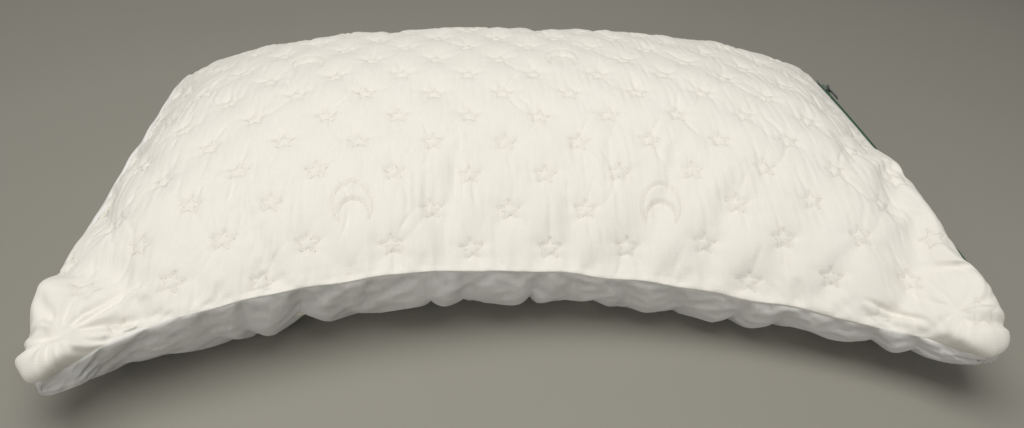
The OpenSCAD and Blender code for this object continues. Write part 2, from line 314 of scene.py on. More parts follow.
def star_distance(x, y):
    """Distance to a star's outline, below 0 inside it. One point of the star is on +Y."""
    fifth = 2 * math.pi / 5
    angle = np.arctan2(x, y) % fifth
    angle = np.minimum(angle, fifth - angle)
    radius = np.hypot(x, y)
    px, py = radius * np.cos(angle) - star_r, radius * np.sin(angle)
    edge = np.array([star_notch * math.cos(fifth / 2) - star_r, star_notch * math.sin(fifth / 2)])
    share = np.clip((px * edge[0] + py * edge[1]) / (edge @ edge), 0, 1)
    distance = np.hypot(px - share * edge[0], py - share * edge[1])
    return np.where(edge[0] * py - edge[1] * px < 0, distance, -distance)


def moon_distance(x, y):
    """Distance to a crescent's outline, below 0 inside it. Its horns point to -Y."""
    y = y / moon_tall
    return np.maximum(np.hypot(x, y) - moon_r, moon_bite_r - np.hypot(x, y + moon_bite_shift))


# %% The height of the quilting
groove_depth, groove_width = 1.3 * MM, 0.9 * MM
dimple_depth, dimple_width = 1.5 * MM, 12 * MM
puff_height = 0.8 * MM
crease_depth = 1.6 * MM


def quilt_row(row, s, t):
    """Height of one row of motifs, and how deep in a groove each point is."""
    column = np.round((s - row_offset(row)) / motif_gap)
    x0 = s - row_offset(row) - column * motif_gap
    y0 = t - row_start - row * row_gap
    tilt = motif_tilt(row, column)
    x = x0 * np.cos(tilt) - y0 * np.sin(tilt)
    y = x0 * np.sin(tilt) + y0 * np.cos(tilt)
    radius, turn = np.hypot(x, y), np.arctan2(x, y)
    moon = is_moon(row, column)
    distance = np.where(moon, moon_distance(x, y), star_distance(x, y))
    groove = bell(distance, groove_width)
    inside = 0.8 * MM * np.clip(-distance / (2.5 * MM), 0, 1)
    dimple = np.where(moon, 0.45, 1) * bell(radius, dimple_width)
    pucker = 0.35 * MM * np.cos(5 * turn) * bell(radius - star_r - 4 * MM, 6 * MM)
    # Creases that run from front to back out of each star, each with a place and a lean of its own
    side = np.sin(5.3 * column + 2.7 * row)
    bend = x0 - side * 5 * MM - y0 * 0.12 * np.sin(3.1 * column + 1.3 * row) - 14 * side * y0**2
    reach = bell(abs(y0) - 17 * MM, 13 * MM)
    crease = crease_depth * (0.55 + 0.45 * np.sin(8.7 * column - 4.1 * row)) * reach * bell(bend, 1.7 * MM)
    height = inside - groove_depth * groove - dimple_depth * dimple - np.where(moon, 0, pucker) - crease
    return height, groove


def quilting(s, t):
    phase_s = 2 * math.pi * (s - first_column) / motif_gap
    phase_t = math.pi * (t - row_start) / row_gap
    height = -puff_height * np.cos(phase_s) * np.cos(phase_t)
    depth = np.zeros_like(s)
    for row in rows:
        close = abs(t - row_start - row * row_gap) < 34 * MM
        row_height, groove = quilt_row(row, s[close], t[close])
        height[close] += row_height
        depth[close] = np.maximum(depth[close], groove)
    # Long shallow pulls from front to back, where the knit is stretched over the crown
    pulls = lumps(s * 3.2, t * 0.32, (42 * MM, 25 * MM, 17 * MM), 11)
    uneven = 0.9 * MM * lumps(s, t, (120 * MM, 70 * MM), 5)
    return height - 0.9 * MM * np.maximum(0, pulls - 0.1) + uneven, depth


quilt_height, groove_shade_mask = quilting(cloth_s, cloth_t)
print("motif rows:", len(rows), "relief in mm:", quilt_height.min() / MM, quilt_height.max() / MM)

# %% [markdown]
# ## Folds in the gathered corners and below the seam
# Where a corner is drawn together, pleats fan out from one point. A pleat is a narrow valley that is deep at
# the gathering point and dies out a few centimetres away. The plush panel is longer than the seam that it is
# sewn to, so it stands in puffs with creases between them, square to the seam.

# %% Pleats that fan out of a point


def fan(s, t, centre, radius, depth, pleats, seed):
    """Height of pleats that run out of a gathering point, with a pit in the middle."""
    chance = np.random.default_rng(seed)
    x, y = s - centre[0], t - centre[1]
    out, turn = np.hypot(x, y), np.arctan2(y, x)
    height = -1.3 * depth * bell(out, 0.16 * radius)
    for pleat in range(pleats):
        bearing = 2 * math.pi * (pleat + chance.uniform(-0.3, 0.3)) / pleats
        bearing = bearing + chance.uniform(-0.6, 0.6) * out / radius
        length = radius * chance.uniform(0.55, 1.1)
        apart = np.abs(np.angle(np.exp(1j * (turn - bearing)))) * out
        width = 1.6 * MM + 0.08 * out
        height = np.minimum(height, -depth * np.exp(-((apart / width) ** 2) - (out / length) ** 2))
    return height


def crease(s, t, start, end, width, depth):
    """One valley between two points of the cloth, with soft ends."""
    run = np.array(end) - np.array(start)
    length = np.hypot(*run)
    run = run / length
    along = (s - start[0]) * run[0] + (t - start[1]) * run[1]
    across = (t - start[1]) * run[0] - (s - start[0]) * run[1]
    ends = np.clip(along / (0.3 * length), 0, 1) * np.clip((length - along) / (0.3 * length), 0, 1)
    return -depth * ends * (bell(across, width) - 0.45 * bell(across - 2 * width, 1.6 * width))


def corner_cloth(side):
    """Lengths over the top from a front corner: inwards along the front, and back along the end."""
    inwards = (cloth_s - cloth_s[:1]) if side < 0 else (cloth_s[-1:] - cloth_s)
    return inwards, cloth_t - cloth_t[:, :1]


left_in, left_back = corner_cloth(-1)
right_in, right_back = corner_cloth(1)
corner_relief = fan(left_in, left_back, (32 * MM, 23 * MM), 58 * MM, 4.4 * MM, 13, 2)
corner_relief += crease(left_in, left_back, (2 * MM, 24 * MM), (34 * MM, 24 * MM), 4 * MM, 6 * MM)
corner_relief += fan(right_in, right_back, (34 * MM, 30 * MM), 42 * MM, 2.4 * MM, 9, 8)
corner_relief += crease(right_in, right_back, (3 * MM, 26 * MM), (36 * MM, 22 * MM), 3 * MM, 3.6 * MM)
corner_relief += crease(right_in, right_back, (98 * MM, 22 * MM), (48 * MM, 14 * MM), 2.2 * MM, 3.2 * MM)
print("corner relief in mm:", corner_relief.min() / MM, corner_relief.max() / MM)


# %% Lobes of the gathered corners
def lobe(s, t, centre, radius, height):
    """A round swelling of the cloth."""
    return height * np.exp(-(((s - centre[0]) ** 2 + (t - centre[1]) ** 2) / radius**2))


lobes = lobe(left_in, left_back, (12 * MM, 64 * MM), 25 * MM, 17 * MM)
lobes += lobe(left_in, left_back, (20 * MM, 8 * MM), 24 * MM, 19 * MM)
lobes += lobe(right_in, right_back, (20 * MM, 52 * MM), 26 * MM, 8 * MM)
lobes += lobe(right_in, right_back, (20 * MM, 9 * MM), 24 * MM, 15 * MM)
print("highest lobe in mm:", lobes.max() / MM)

# %% The folds of the plush panel
puff_length, puff_out = 43 * MM, 5.2 * MM


def side_puffs(place, seed):
    """Puffs along one side, with narrow creases between them."""
    warped = place + 15 * MM * waves(place, (230 * MM, 131 * MM, 83 * MM), seed)
    even = 2 * np.abs(np.sin(math.pi * warped / puff_length)) ** 0.8 - 1.2
    return even * (0.55 + 0.6 * waves(place, (170 * MM, 90 * MM), seed + 1))


def fold_height(u, v):
    """How far the folds of the underside stand out."""
    x, y = plan(u, v, 0)
    fall_u = np.minimum(1, np.maximum(0, 1 - abs(u) ** crown_u) ** crown_end / belly_flat) ** belly_turn
    fall_v = np.minimum(1, np.maximum(0, 1 - abs(v) ** crown_v) ** crown_edge / belly_flat) ** belly_turn

    def reach(fall):
        return 2.0 * fall**0.8 * np.maximum(0, 1 - fall) ** 0.6

    # The creases lean one way and another on their way down
    slant = 16 * MM * fall_v * waves(x, (190 * MM, 74 * MM), 25)
    along_edges = side_puffs(x + slant, 21) * reach(fall_v)
    along_ends = side_puffs(y, 31) * reach(fall_u) * (1 - 0.6 * zip_open(u, v))
    drawn = np.maximum(0, lumps(x, 0.35 * y + 60 * MM * fall_v, (26 * MM, 17 * MM, 11 * MM), 41) - 0.1)
    fine = -0.75 * drawn * (reach(fall_v) + reach(fall_u))
    return puff_out * (along_edges + along_ends + fine)


def surface_normals(points):
    """Upward unit normals of a grid of points."""
    du, dv = np.gradient(points, axis=0), np.gradient(points, axis=1)
    normal = np.cross(du, dv)
    return normal / np.maximum(np.linalg.norm(normal, axis=-1, keepdims=True), 1e-12)


# %% [markdown]
# ## Building a layer
# Each layer of cloth is a closed shell: an outer sheet, an inner sheet and a strip round the rim. The outer
# sheet is fine where it is seen. The inner sheet only has to be there, so it is coarse. Solidify could add
# the wall, but it would double the fine sheet's faces and fold over itself in the creases.

# %% A closed shell from two grids


def sheet_faces(shape, first, face_up):
    rows_, columns_ = shape
    i, j = np.meshgrid(np.arange(rows_ - 1), np.arange(columns_ - 1), indexing="ij")
    corner = first + i * columns_ + j
    quads = np.stack([corner, corner + columns_, corner + columns_ + 1, corner + 1], -1).reshape(-1, 4)
    return quads if face_up else quads[:, ::-1]


def rim_of(shape, first):
    """The numbers of the rim's points, anticlockwise seen from above."""
    rows_, columns_ = shape
    i, j = np.arange(rows_), np.arange(columns_)
    rim = [i[:-1] * columns_, (rows_ - 1) * columns_ + j[:-1], i[:0:-1] * columns_ + columns_ - 1, j[:0:-1]]
    return first + np.concatenate(rim)


def rim_strip(fine, coarse, outer_on_top):
    """Triangles between a fine rim and a coarse one that shares every eighth of its points."""
    step, faces = len(fine) // len(coarse), []
    for k in range(len(coarse)):
        here, following = coarse[k], coarse[(k + 1) % len(coarse)]
        points = [fine[(k * step + m) % len(fine)] for m in range(step + 1)]
        faces += [(here if m < step / 2 else following, points[m + 1], points[m]) for m in range(step)]
        faces.append((here, following, points[-(-step // 2)]))
    return faces if outer_on_top else [face[::-1] for face in faces]


def new_object(name, points, faces):
    mesh = bpy.data.meshes.new(name)
    mesh.from_pydata(np.asarray(points).tolist(), [], [list(map(int, face)) for face in faces])
    mesh.shade_smooth()
    mesh.update()
    obj = bpy.data.objects.new(name, mesh)
    bpy.context.scene.collection.objects.link(obj)
    return obj


def shell(name, outer, inner, outer_on_top, cloth=None):
    """A closed layer. cloth, if given, is kept as an attribute for the material to read."""
    count = outer.shape[0] * outer.shape[1]
    faces = sheet_faces(outer.shape[:2], 0, outer_on_top).tolist()
    faces += sheet_faces(inner.shape[:2], count, not outer_on_top).tolist()
    faces += rim_strip(rim_of(outer.shape[:2], 0), rim_of(inner.shape[:2], count), outer_on_top)
    obj = new_object(name, np.concatenate([outer.reshape(-1, 3), inner.reshape(-1, 3)]), faces)
    if cloth is not None:
        step = (outer.shape[0] - 1) // (inner.shape[0] - 1)
        values = np.concatenate([cloth.reshape(-1, 3), cloth[::step, ::step].reshape(-1, 3)])
        attribute = obj.data.attributes.new("cloth", "FLOAT_VECTOR", "POINT")
        attribute.data.foreach_set("vector", values.astype(np.float32).ravel())
    return obj


# %% [markdown]
# ## Let the cloth settle
# Formulas give even puffs, and real cloth isn't even. So each panel goes through Blender's cloth simulation:
# it is cut a few per cent too long, held at the seam, and blown up from inside without gravity. The spare
# length has to go somewhere, so it buckles into the small folds that run square to a seam. The move of each
# point is capped. For the top, its broad part is taken away so that the size stays, and only the folds are
# kept; the bottom keeps its whole move.

# %% Cloth simulation
SIM_FRAMES = 20
scene = bpy.context.scene


def spread(values, shape):
    """Carries a coarse grid's values over to a finer grid with the same corners, by cubic interpolation."""
    for axis, count in enumerate(shape):
        last = values.shape[axis] - 1
        place = np.linspace(0, last, count)
        start = np.clip(place.astype(int), 0, last - 1)
        part = (place - start).reshape([-1 if k == axis else 1 for k in range(values.ndim)])
        before, here, following, beyond = [
            np.take(values, np.clip(start + k, 0, last), axis) for k in (-1, 0, 1, 2)]
        values = here + 0.5 * part * (
            following - before + part * (2 * before - 5 * here + 4 * following - beyond
                                         + part * (3 * (here - following) + beyond - before)))
    return values


def broad_part(values, cells):
    """The slow changes in a grid of vectors, over about so many cells."""
    for axis in (0, 1):
        for _ in range(3):
            padded = np.concatenate([np.take(values, [0] * cells, axis), values,
                                     np.take(values, [-1] * cells, axis)], axis)
            sums = np.cumsum(padded, axis)
            ahead_, behind = [np.take(sums, range(k, k + values.shape[axis]), axis) for k in (2 * cells, 0)]
            values = (ahead_ - behind) / (2 * cells)
    return values


def settle(points, held, face_up, slack, cap, broad_cells):
    """Simulates one panel and gives the move of each point."""
    panel = new_object("panel_in_work", points.reshape(-1, 3), sheet_faces(points.shape[:2], 0, face_up))
    group = panel.vertex_groups.new(name="held")
    group.add(np.flatnonzero(held).tolist(), 1.0, "REPLACE")
    modifier = panel.modifiers.new("cloth", "CLOTH")
    cloth = modifier.settings
    cloth.quality = 6
    cloth.vertex_group_mass = "held"
    cloth.shrink_min = -slack
    cloth.use_pressure = True
    cloth.uniform_pressure_force = 4
    cloth.effector_weights.gravity = 0
    modifier.collision_settings.use_collision = False
    modifier.point_cache.frame_start, modifier.point_cache.frame_end = 1, SIM_FRAMES
    for number in range(1, SIM_FRAMES + 1):
        scene.frame_set(number)
    settled = panel.evaluated_get(bpy.context.evaluated_depsgraph_get()).data
    places = np.empty(len(settled.vertices) * 3, np.float32)
    settled.vertices.foreach_get("co", places)
    move = places.reshape(points.shape).astype(float) - points
    bpy.data.objects.remove(panel)
    scene.frame_set(1)
    length = np.linalg.norm(move, axis=-1, keepdims=True)
    move = move * np.minimum(1, cap / np.maximum(length, 1e-9))
    print("moved by the cloth, mean and most in mm:", length.mean() / MM, length.max() / MM)
    return move - broad_part(move, broad_cells) if broad_cells else move


# %% [markdown]
# ## The quilted top
# The outer sheet is the smooth dome plus the relief, pushed out along the dome's normals. Close to the seam
# both panels turn in, and that makes the thin dark line of a sewn seam. Next to it the padded edge rolls
# over a little.

# %% Top panel
seam_turn, seam_turn_width = 2.2 * MM, 2.6 * MM
roll_out, roll_width = 0.8 * MM, 7 * MM
bulge_start = 7 * MM
zip_cover, cover_place, cover_reach = 9 * MM, 20 * MM, 13 * MM
face_wall = 4.2 * MM


def turned_in(distance):
    """How far the cloth turns in towards the seam, by its distance from the seam."""
    return seam_turn * bell(distance, seam_turn_width)


rim_fade = np.clip(edge_distance / (7 * MM), 0, 1)
zip_fade = 1 - zip_open(top_u, top_v) * bell(cloth_s[-1:] - cloth_s, 22 * MM)
roll_over = roll_out * bell(edge_distance - roll_width, 0.6 * roll_width)
bulge = lobes * (1 - bell(edge_distance, bulge_start))
# Towards the front of the zipped end, the filling pushes the panel out over the zip
from_end = cloth_s[-1:] - cloth_s
over_zip = bell(from_end - cover_place, cover_reach) * np.clip((0.05 - top_v) / 0.25, 0, 1)
bulge = bulge + zip_cover * over_zip * np.clip(from_end / (6 * MM), 0, 1) * np.clip((1 + top_v) / 0.2, 0, 1)
even_cloth = 1 - 0.8 * bell(from_corner(top_u, top_v), knob_size)
relief = ((quilt_height - 1.2 * MM) * even_cloth + corner_relief + roll_over) * rim_fade * zip_fade + bulge
top_base = top_surface(top_u, top_v, turned_in(edge_distance) * zip_fade, panel_slot)
top_up = surface_normals(smooth_top)
TOP_SIM_STEP = 4
sim_start = (top_base + (corner_relief + bulge)[..., None] * top_up)[::TOP_SIM_STEP, ::TOP_SIM_STEP]
sim_edge = (edge_distance * zip_fade)[::TOP_SIM_STEP, ::TOP_SIM_STEP]
top_move = spread(settle(sim_start, sim_edge < 3 * MM, True, 0.015, 9 * MM, 7), top_u.shape)
# The filled corners hang over their seam
overhang = 8 * MM * bell(from_corner(top_u, top_v), 34 * MM) * (1 - bell(edge_distance, bulge_start))
top_move = top_move - overhang[..., None] * np.array([0, 0.3, 1])
top_outer = top_base + top_move + relief[..., None] * top_up
coarse_u, coarse_v = top_u[::COARSE_STEP, ::COARSE_STEP], top_v[::COARSE_STEP, ::COARSE_STEP]


def lowest_near(height, step):
    """The lowest height round each coarse point, so that a coarse sheet stays under a fine one."""
    lowest = height.copy()
    for axis in (0, 1):
        for _ in range(step):
            shifted = [np.roll(lowest, way, axis) for way in (-1, 1)]
            lowest = np.minimum.reduce([lowest, *shifted])
    return lowest[::step, ::step]


top_moved_out = (top_move * top_up).sum(-1)
top_lows = lowest_near(relief + top_moved_out, COARSE_STEP) - top_moved_out[::COARSE_STEP, ::COARSE_STEP]
top_few_up = top_up[::COARSE_STEP, ::COARSE_STEP]
top_few_move = top_move[::COARSE_STEP, ::COARSE_STEP]
away_from_seam = np.clip((edge_distance[::COARSE_STEP, ::COARSE_STEP] - 4 * MM) / (22 * MM), 0, 1)


def top_layer(inset, slot, set_in=0.0):
    """A hidden sheet. The formula thins a layer where the dome is low, so there it is pushed in."""
    thinned = inset * (1 - crown(coarse_u, coarse_v)) * away_from_seam
    points = top_surface(coarse_u, coarse_v, inset, slot, set_in)
    return points + top_few_move + (top_lows - thinned)[..., None] * top_few_up


# The third value is the groove mask for the knit's painted shade.
cloth_map = np.stack([cloth_s, cloth_t, groove_shade_mask], -1)
quilted_top = shell("quilted_top", top_outer, top_layer(face_wall, panel_slot), True, cloth_map)
print("quilted top:", len(quilted_top.data.polygons), "faces")

# %% [markdown]
# ## The plush bottom
# The same recipe upside down, with the folds pushed out instead of quilting. Where the formula would go
# below the surface that the pillow lies on, the cloth is laid flat on it.

# %% Bottom panel
smooth_under = under_surface(under_u, under_v, 0, 0, 0)
under_s, under_t = cloth_lengths(under_u, under_v, smooth_under)
under_edge = np.minimum.reduce([
    under_s - under_s[:1], under_s[-1:] - under_s, under_t - under_t[:, :1], under_t[:, -1:] - under_t])
beside_zip = zip_open(under_u, under_v) * bell(under_s[-1:] - under_s, 22 * MM)
under_fade = np.clip(under_edge / (9 * MM), 0, 1) * (1 - beside_zip)
under_folds = fold_height(under_u, under_v) * under_fade


def under_layer(u, v, inset, floor_gap, slot, shift, set_in=0.0, edge=None):
    turn = 0 if edge is None else turned_in(edge)
    points = under_surface(u, v, inset + turn, floor_gap, slot, set_in) + shift
    points[..., 2] = np.maximum(points[..., 2], floor_gap)
    return points


UNDER_STEP = 4
few_u, few_v = under_u[::UNDER_STEP, ::UNDER_STEP], under_v[::UNDER_STEP, ::UNDER_STEP]
under_out = -surface_normals(smooth_under)
under_shift = under_folds[..., None] * under_out
sim_start = under_layer(under_u, under_v, 0, 0, panel_slot, under_shift, edge=under_edge)[::2, ::2]
sim_edge = (under_edge * (1 - zip_open(under_u, under_v)))[::2, ::2]
sim_flat = (belly(under_u, under_v) > 0.999)[::2, ::2] & (under_edge[::2, ::2] > 120 * MM)
under_move = settle(sim_start, (sim_edge < 2 * MM) | sim_flat, False, 0.035, 12 * MM, 0)
under_shift = under_shift + spread(under_move, under_u.shape)
shift_out = (under_shift * under_out).sum(-1)
few_out = under_out[::UNDER_STEP, ::UNDER_STEP]
few_shift = under_shift[::UNDER_STEP, ::UNDER_STEP]
under_lows = lowest_near(shift_out, UNDER_STEP) - shift_out[::UNDER_STEP, ::UNDER_STEP]
few_shift = few_shift + under_lows[..., None] * few_out
under_outer = under_layer(under_u, under_v, 0, 0, panel_slot, under_shift, edge=under_edge)
under_inner = under_layer(few_u, few_v, 3 * MM, 3 * MM, panel_slot, few_shift)
under_map = np.stack([under_s, under_t, under_folds / puff_out], -1)
plush_bottom = shell("plush_bottom", under_outer, under_inner, False, under_map)
print("plush bottom:", len(plush_bottom.data.polygons), "faces")

# %% [markdown]
# ## The layers inside
# Nobody sees the wadding, its backing, the liner or the foam in a closed pillow, but they are real pieces
# and they have to nest. Each is the same formula at its own depth, so none can poke through the next.

# %% Wadding, backing, liner and foam
wadding = shell("quilting_wadding", top_layer(4.3 * MM, panel_slot), top_layer(5.6 * MM, panel_slot), True)
backing = shell("quilting_backing", top_layer(5.7 * MM, panel_slot), top_layer(6.4 * MM, panel_slot), True)
liner_set_in = 8 * MM
liner_slot = 7.8 * MM
liner_top = shell("liner_top_cloth", top_layer(7.1 * MM, liner_slot, liner_set_in),
                  top_layer(8.0 * MM, liner_slot, liner_set_in), True)
liner_under = [under_layer(few_u, few_v, inset, floor_gap, liner_slot, few_shift, liner_set_in)
               for inset, floor_gap in ((7.1 * MM, 3.6 * MM), (8.0 * MM, 4.5 * MM))]
liner_bottom = shell("liner_bottom_cloth", *liner_under, False)
foam_top = top_layer(9 * MM, 0, liner_set_in + 7 * MM)
foam_under = under_layer(coarse_u, coarse_v, 9 * MM, 5.4 * MM, 0, 0, liner_set_in + 7 * MM)
foam_crumbs = 1.2 * MM * lumps(foam_top[..., 0], foam_top[..., 1], (31 * MM, 22 * MM), 51)
foam_top[..., 2] -= 1.2 * MM + foam_crumbs * crown(coarse_u, coarse_v)
foam = shell("shredded_foam", foam_top, foam_under, True)
print("inner layers made")

# %% [markdown]
# ## Light and floor
# One large soft light hangs overhead, so the top is bright and the plush band under the seam falls into
# shade. A weaker one in front opens that shade a little. A plain floor catches the contact shadow.

# %% Floor, world and lights
floor = new_object("floor", [(-4, -4, 0), (4, -4, 0), (4, 4, 0), (-4, 4, 0)], [(0, 1, 2, 3)])
world = bpy.data.worlds.new("studio")
world.use_nodes = True
world.node_tree.nodes["Background"].inputs["Color"].default_value = (1, 0.985, 0.94, 1)
world.node_tree.nodes["Background"].inputs["Strength"].default_value = 0.16
bpy.context.scene.world = world


def soft_light(name, place, target, size, power):
    data = bpy.data.lights.new(name, "AREA")
    data.shape = "RECTANGLE"
    data.size, data.size_y = size
    data.energy = power
    data.color = (1, 0.985, 0.95)
    light = bpy.data.objects.new(name, data)
    light.location = place
    light.rotation_euler = (Vector(target) - Vector(place)).to_track_quat("-Z", "Y").to_euler()
    bpy.context.scene.collection.objects.link(light)


soft_light("overhead_light", (-0.1, -0.1, 1.6), (0, 0.05, 0), (1.7, 1.1), 22)
soft_light("front_light", (-0.5, -1.6, 1.0), (0, -0.1, 0.05), (1.8, 0.7), 8)
bpy.context.scene.view_settings.view_transform = "Standard"

# %% [markdown]
# ## Materials as sums
# A material is a tree of nodes, and its maths is easier to read as Python. The class Number wraps a socket
# and turns + - * into Math nodes. Paint makes a material, and its add() makes any node at all.


# %% Numbers and paint
class Number:
    """A socket of a material that can be used in sums."""

    def __init__(self, paint, socket):
        self.paint, self.socket = paint, socket

    def __add__(self, other):
        return self.paint.sum("ADD", self, other)

    def __sub__(self, other):
        return self.paint.sum("SUBTRACT", self, other)

    def __rsub__(self, other):
        return self.paint.sum("SUBTRACT", other, self)

    def __mul__(self, other):
        return self.paint.sum("MULTIPLY", self, other)

    __radd__, __rmul__ = __add__, __mul__


class Paint:
    """A material in the making. Its shader's fixed values are given by name."""

    def __init__(self, name, **fixed):
        self.material = bpy.data.materials.new(name)
        self.material.use_nodes = True
        self.tree = self.material.node_tree
        self.shader = self.tree.nodes["Principled BSDF"]
        for socket, value in fixed.items():
            self.shader.inputs[socket.replace("_", " ")].default_value = value

    def add(self, kind, settings=None, sockets=None, output=0):
        """Adds a node: its type, its settings, and the values or links of its sockets."""
        node = self.tree.nodes.new("ShaderNode" + kind)
        for setting, value in (settings or {}).items():
            setattr(node, setting, value)
        for socket, value in (sockets or {}).items():
            self.join(value, node.inputs[socket])
        return Number(self, node.outputs[output])

    def join(self, value, socket):
        if isinstance(value, Number):
            self.tree.links.new(value.socket, socket)
        else:
            socket.default_value = value

    def sum(self, operation, *values):
        return self.add("Math", {"operation": operation}, dict(enumerate(values)))

    def mix(self, share, first, second):
        """A blend of two colours."""
        first, second = [c if isinstance(c, Number) else (*c, 1) for c in (first, second)]
        return self.add("Mix", {"data_type": "RGBA"}, {0: share, 6: first, 7: second}, 2)

    def limit(self, value, low, high):
        """0 below low, 1 above high and a straight line between them."""
        return self.add("MapRange", {}, {"Value": value, "From Min": low, "From Max": high})

    def noise(self, place, scale, detail=2.0):
        return self.add("TexNoise", {}, {"Vector": place, "Scale": scale, "Detail": detail})

    def place(self, source="Object"):
        """The three coordinates of a point: on the object, or in a stored attribute of that name."""
        if source == "Object":
            spot = self.add("TexCoord", output=3)
        else:
            spot = self.add("Attribute", {"attribute_name": source}, output=1)
        return [spot] + [self.add("SeparateXYZ", {}, {0: spot}, axis) for axis in range(3)]

    def stretch(self, x, y, z=0.0):
        return self.add("CombineXYZ", {}, {0: x, 1: y, 2: z})

    def bump(self, height, distance, strength=1.0, below=None):
        sockets = {"Height": height, "Distance": distance, "Strength": strength}
        if below:
            sockets["Normal"] = below
        return self.add("Bump", {}, sockets)

    def finish(self, **varying):
        for socket, value in varying.items():
            self.join(value, self.shader.inputs[socket.replace("_", " ")])
        return self.material


def dress(obj, material):
    """Gives an object one material."""
    obj.data.materials.clear()
    obj.data.materials.append(material)


# %% [markdown]
# ## Knit, plush and the rest
# A jersey knit is columns of loops. At arm's length you see fine lines from front to back and a soft fuzz,
# and the grooves along the stitching lines are darkened with painted shade. The plush has a short pile that
# was brushed this way and that; its paler and darker patches are painted sheen, and the shader adds a sheen
# at grazing angles.

# %% Knit
wale, course = 1.5 * MM, 1.1 * MM
turn = 2 * math.pi


def quilted_knit():
    paint = Paint("quilted_knit", Roughness=0.92, Sheen_Weight=0.22, Sheen_Roughness=0.45)
    spot, s, t, groove = paint.place("cloth")
    columns = paint.sum("SINE", s * (turn / wale))
    loops = paint.sum("SINE", t * (turn / course) + columns * 1.4)
    fuzz = paint.noise(spot, 1400, 3)
    pulls = paint.noise(paint.stretch(s * 150, t * 16), 1, 3)
    patches = paint.noise(spot, 22, 2)
    cream = paint.mix(patches, (0.84, 0.815, 0.745), (0.88, 0.86, 0.8))
    # Painted shade: the knit is darkened along the grooves of the quilting stitches.
    cream = paint.mix(groove * 0.22, cream, (0.72, 0.68, 0.58))
    cream = paint.mix(paint.limit(loops, -1, 1) * 0.07, cream, (0.6, 0.58, 0.52))
    fold = paint.bump(pulls, 1.1 * MM, 0.5)
    knit = paint.bump(loops * 0.5 + columns * 0.35 + fuzz, 0.22 * MM, 0.5, fold)
    return paint.finish(Base_Color=cream, Normal=knit, Roughness=0.86 + fuzz * 0.12)


dress(quilted_top, quilted_knit())

# %% Plush


def plush_pile():
    paint = Paint("plush_pile", Roughness=0.9, Sheen_Weight=0.55, Sheen_Roughness=0.38)
    spot, s, t, fold = paint.place("cloth")
    pile = paint.noise(spot, 1100, 4)
    nap_and_sheen = paint.noise(paint.stretch(s * 42, t * 70), 1, 4)
    strokes_and_sheen = paint.noise(paint.stretch(s * 260, t * 90), 1, 2)
    # Painted sheen: the brushed nap shows as paler and darker patches in the colour, and the strokes as paler
    # streaks; both also drive the bump.
    white = paint.mix(nap_and_sheen, (0.72, 0.71, 0.67), (0.86, 0.855, 0.835))
    white = paint.mix(strokes_and_sheen * 0.25, white, (0.95, 0.95, 0.94))
    brushed = paint.bump(nap_and_sheen * 0.7 + strokes_and_sheen * 0.5, 0.9 * MM, 0.55)
    fur = paint.bump(pile, 0.55 * MM, 0.8, brushed)
    return paint.finish(Base_Color=white, Normal=fur, Roughness=0.82 + pile * 0.16)


dress(plush_bottom, plush_pile())

# %% Woven, nylon, metal and foam


def woven(name, colour, pitch, sheen=0.1):
    """A plain weave of threads that cross at a right angle."""
    paint = Paint(name, Roughness=0.85, Sheen_Weight=sheen)
    spot, x, y, z = paint.place()
    over = paint.sum("SINE", (y + z * 0.4) * (turn / pitch))
    across = paint.sum("SINE", (z - y * 0.1 + x * 0.3) * (turn / pitch))
    threads = over * across
    shade = paint.mix(paint.noise(spot, 180, 3), [0.82 * c for c in colour], colour)
    shade = paint.mix(paint.limit(threads, -1, 1) * 0.3, shade, [0.62 * c for c in colour])
    return paint.finish(Base_Color=shade, Normal=paint.bump(threads, 0.15 * MM, 0.7))


def nylon(name, colour):
    paint = Paint(name, Specular_IOR_Level=0.5)
    spot = paint.place()[0]
    wear = paint.noise(spot, 700, 3)
    shade = paint.mix(wear, [0.85 * c for c in colour], [min(1, 1.1 * c) for c in colour])
    scuffs = paint.bump(wear, 0.05 * MM, 0.4)
    return paint.finish(Base_Color=shade, Roughness=0.32 + wear * 0.2, Normal=scuffs)


def cast_metal(name, colour, metallic, roughness):
    paint = Paint(name, Metallic=metallic)
    spot = paint.place()[0]
    grain = paint.noise(spot, 900, 4)
    rubbed = paint.limit(paint.noise(spot, 140, 2), 0.52, 0.66)
    shade = paint.mix(rubbed * 0.5, colour, [min(1, 1.7 * c) for c in colour])
    casting = paint.bump(grain, 0.06 * MM, 0.5)
    return paint.finish(Base_Color=shade, Roughness=roughness + grain * 0.18, Normal=casting)


def foam_crumb():
    paint = Paint("foam_crumb", Roughness=0.95)
    spot = paint.place()[0]
    cells = paint.add("TexVoronoi", {}, {"Vector": spot, "Scale": 60.0})
    pores = paint.noise(spot, 900, 3)
    shade = paint.mix(paint.noise(spot, 55, 1), (0.86, 0.8, 0.6), (0.93, 0.91, 0.82))
    lump = paint.bump(1 - cells, 6 * MM, 0.9)
    return paint.finish(Base_Color=shade, Normal=paint.bump(pores, 0.4 * MM, 0.8, lump))


def felted():
    paint = Paint("felted_wadding", Roughness=1.0)
    spot = paint.place()[0]
    fibres = paint.noise(spot, 300, 6)
    shade = paint.mix(fibres, (0.86, 0.86, 0.84), (0.95, 0.95, 0.94))
    return paint.finish(Base_Color=shade, Normal=paint.bump(fibres, 0.8 * MM, 0.7))


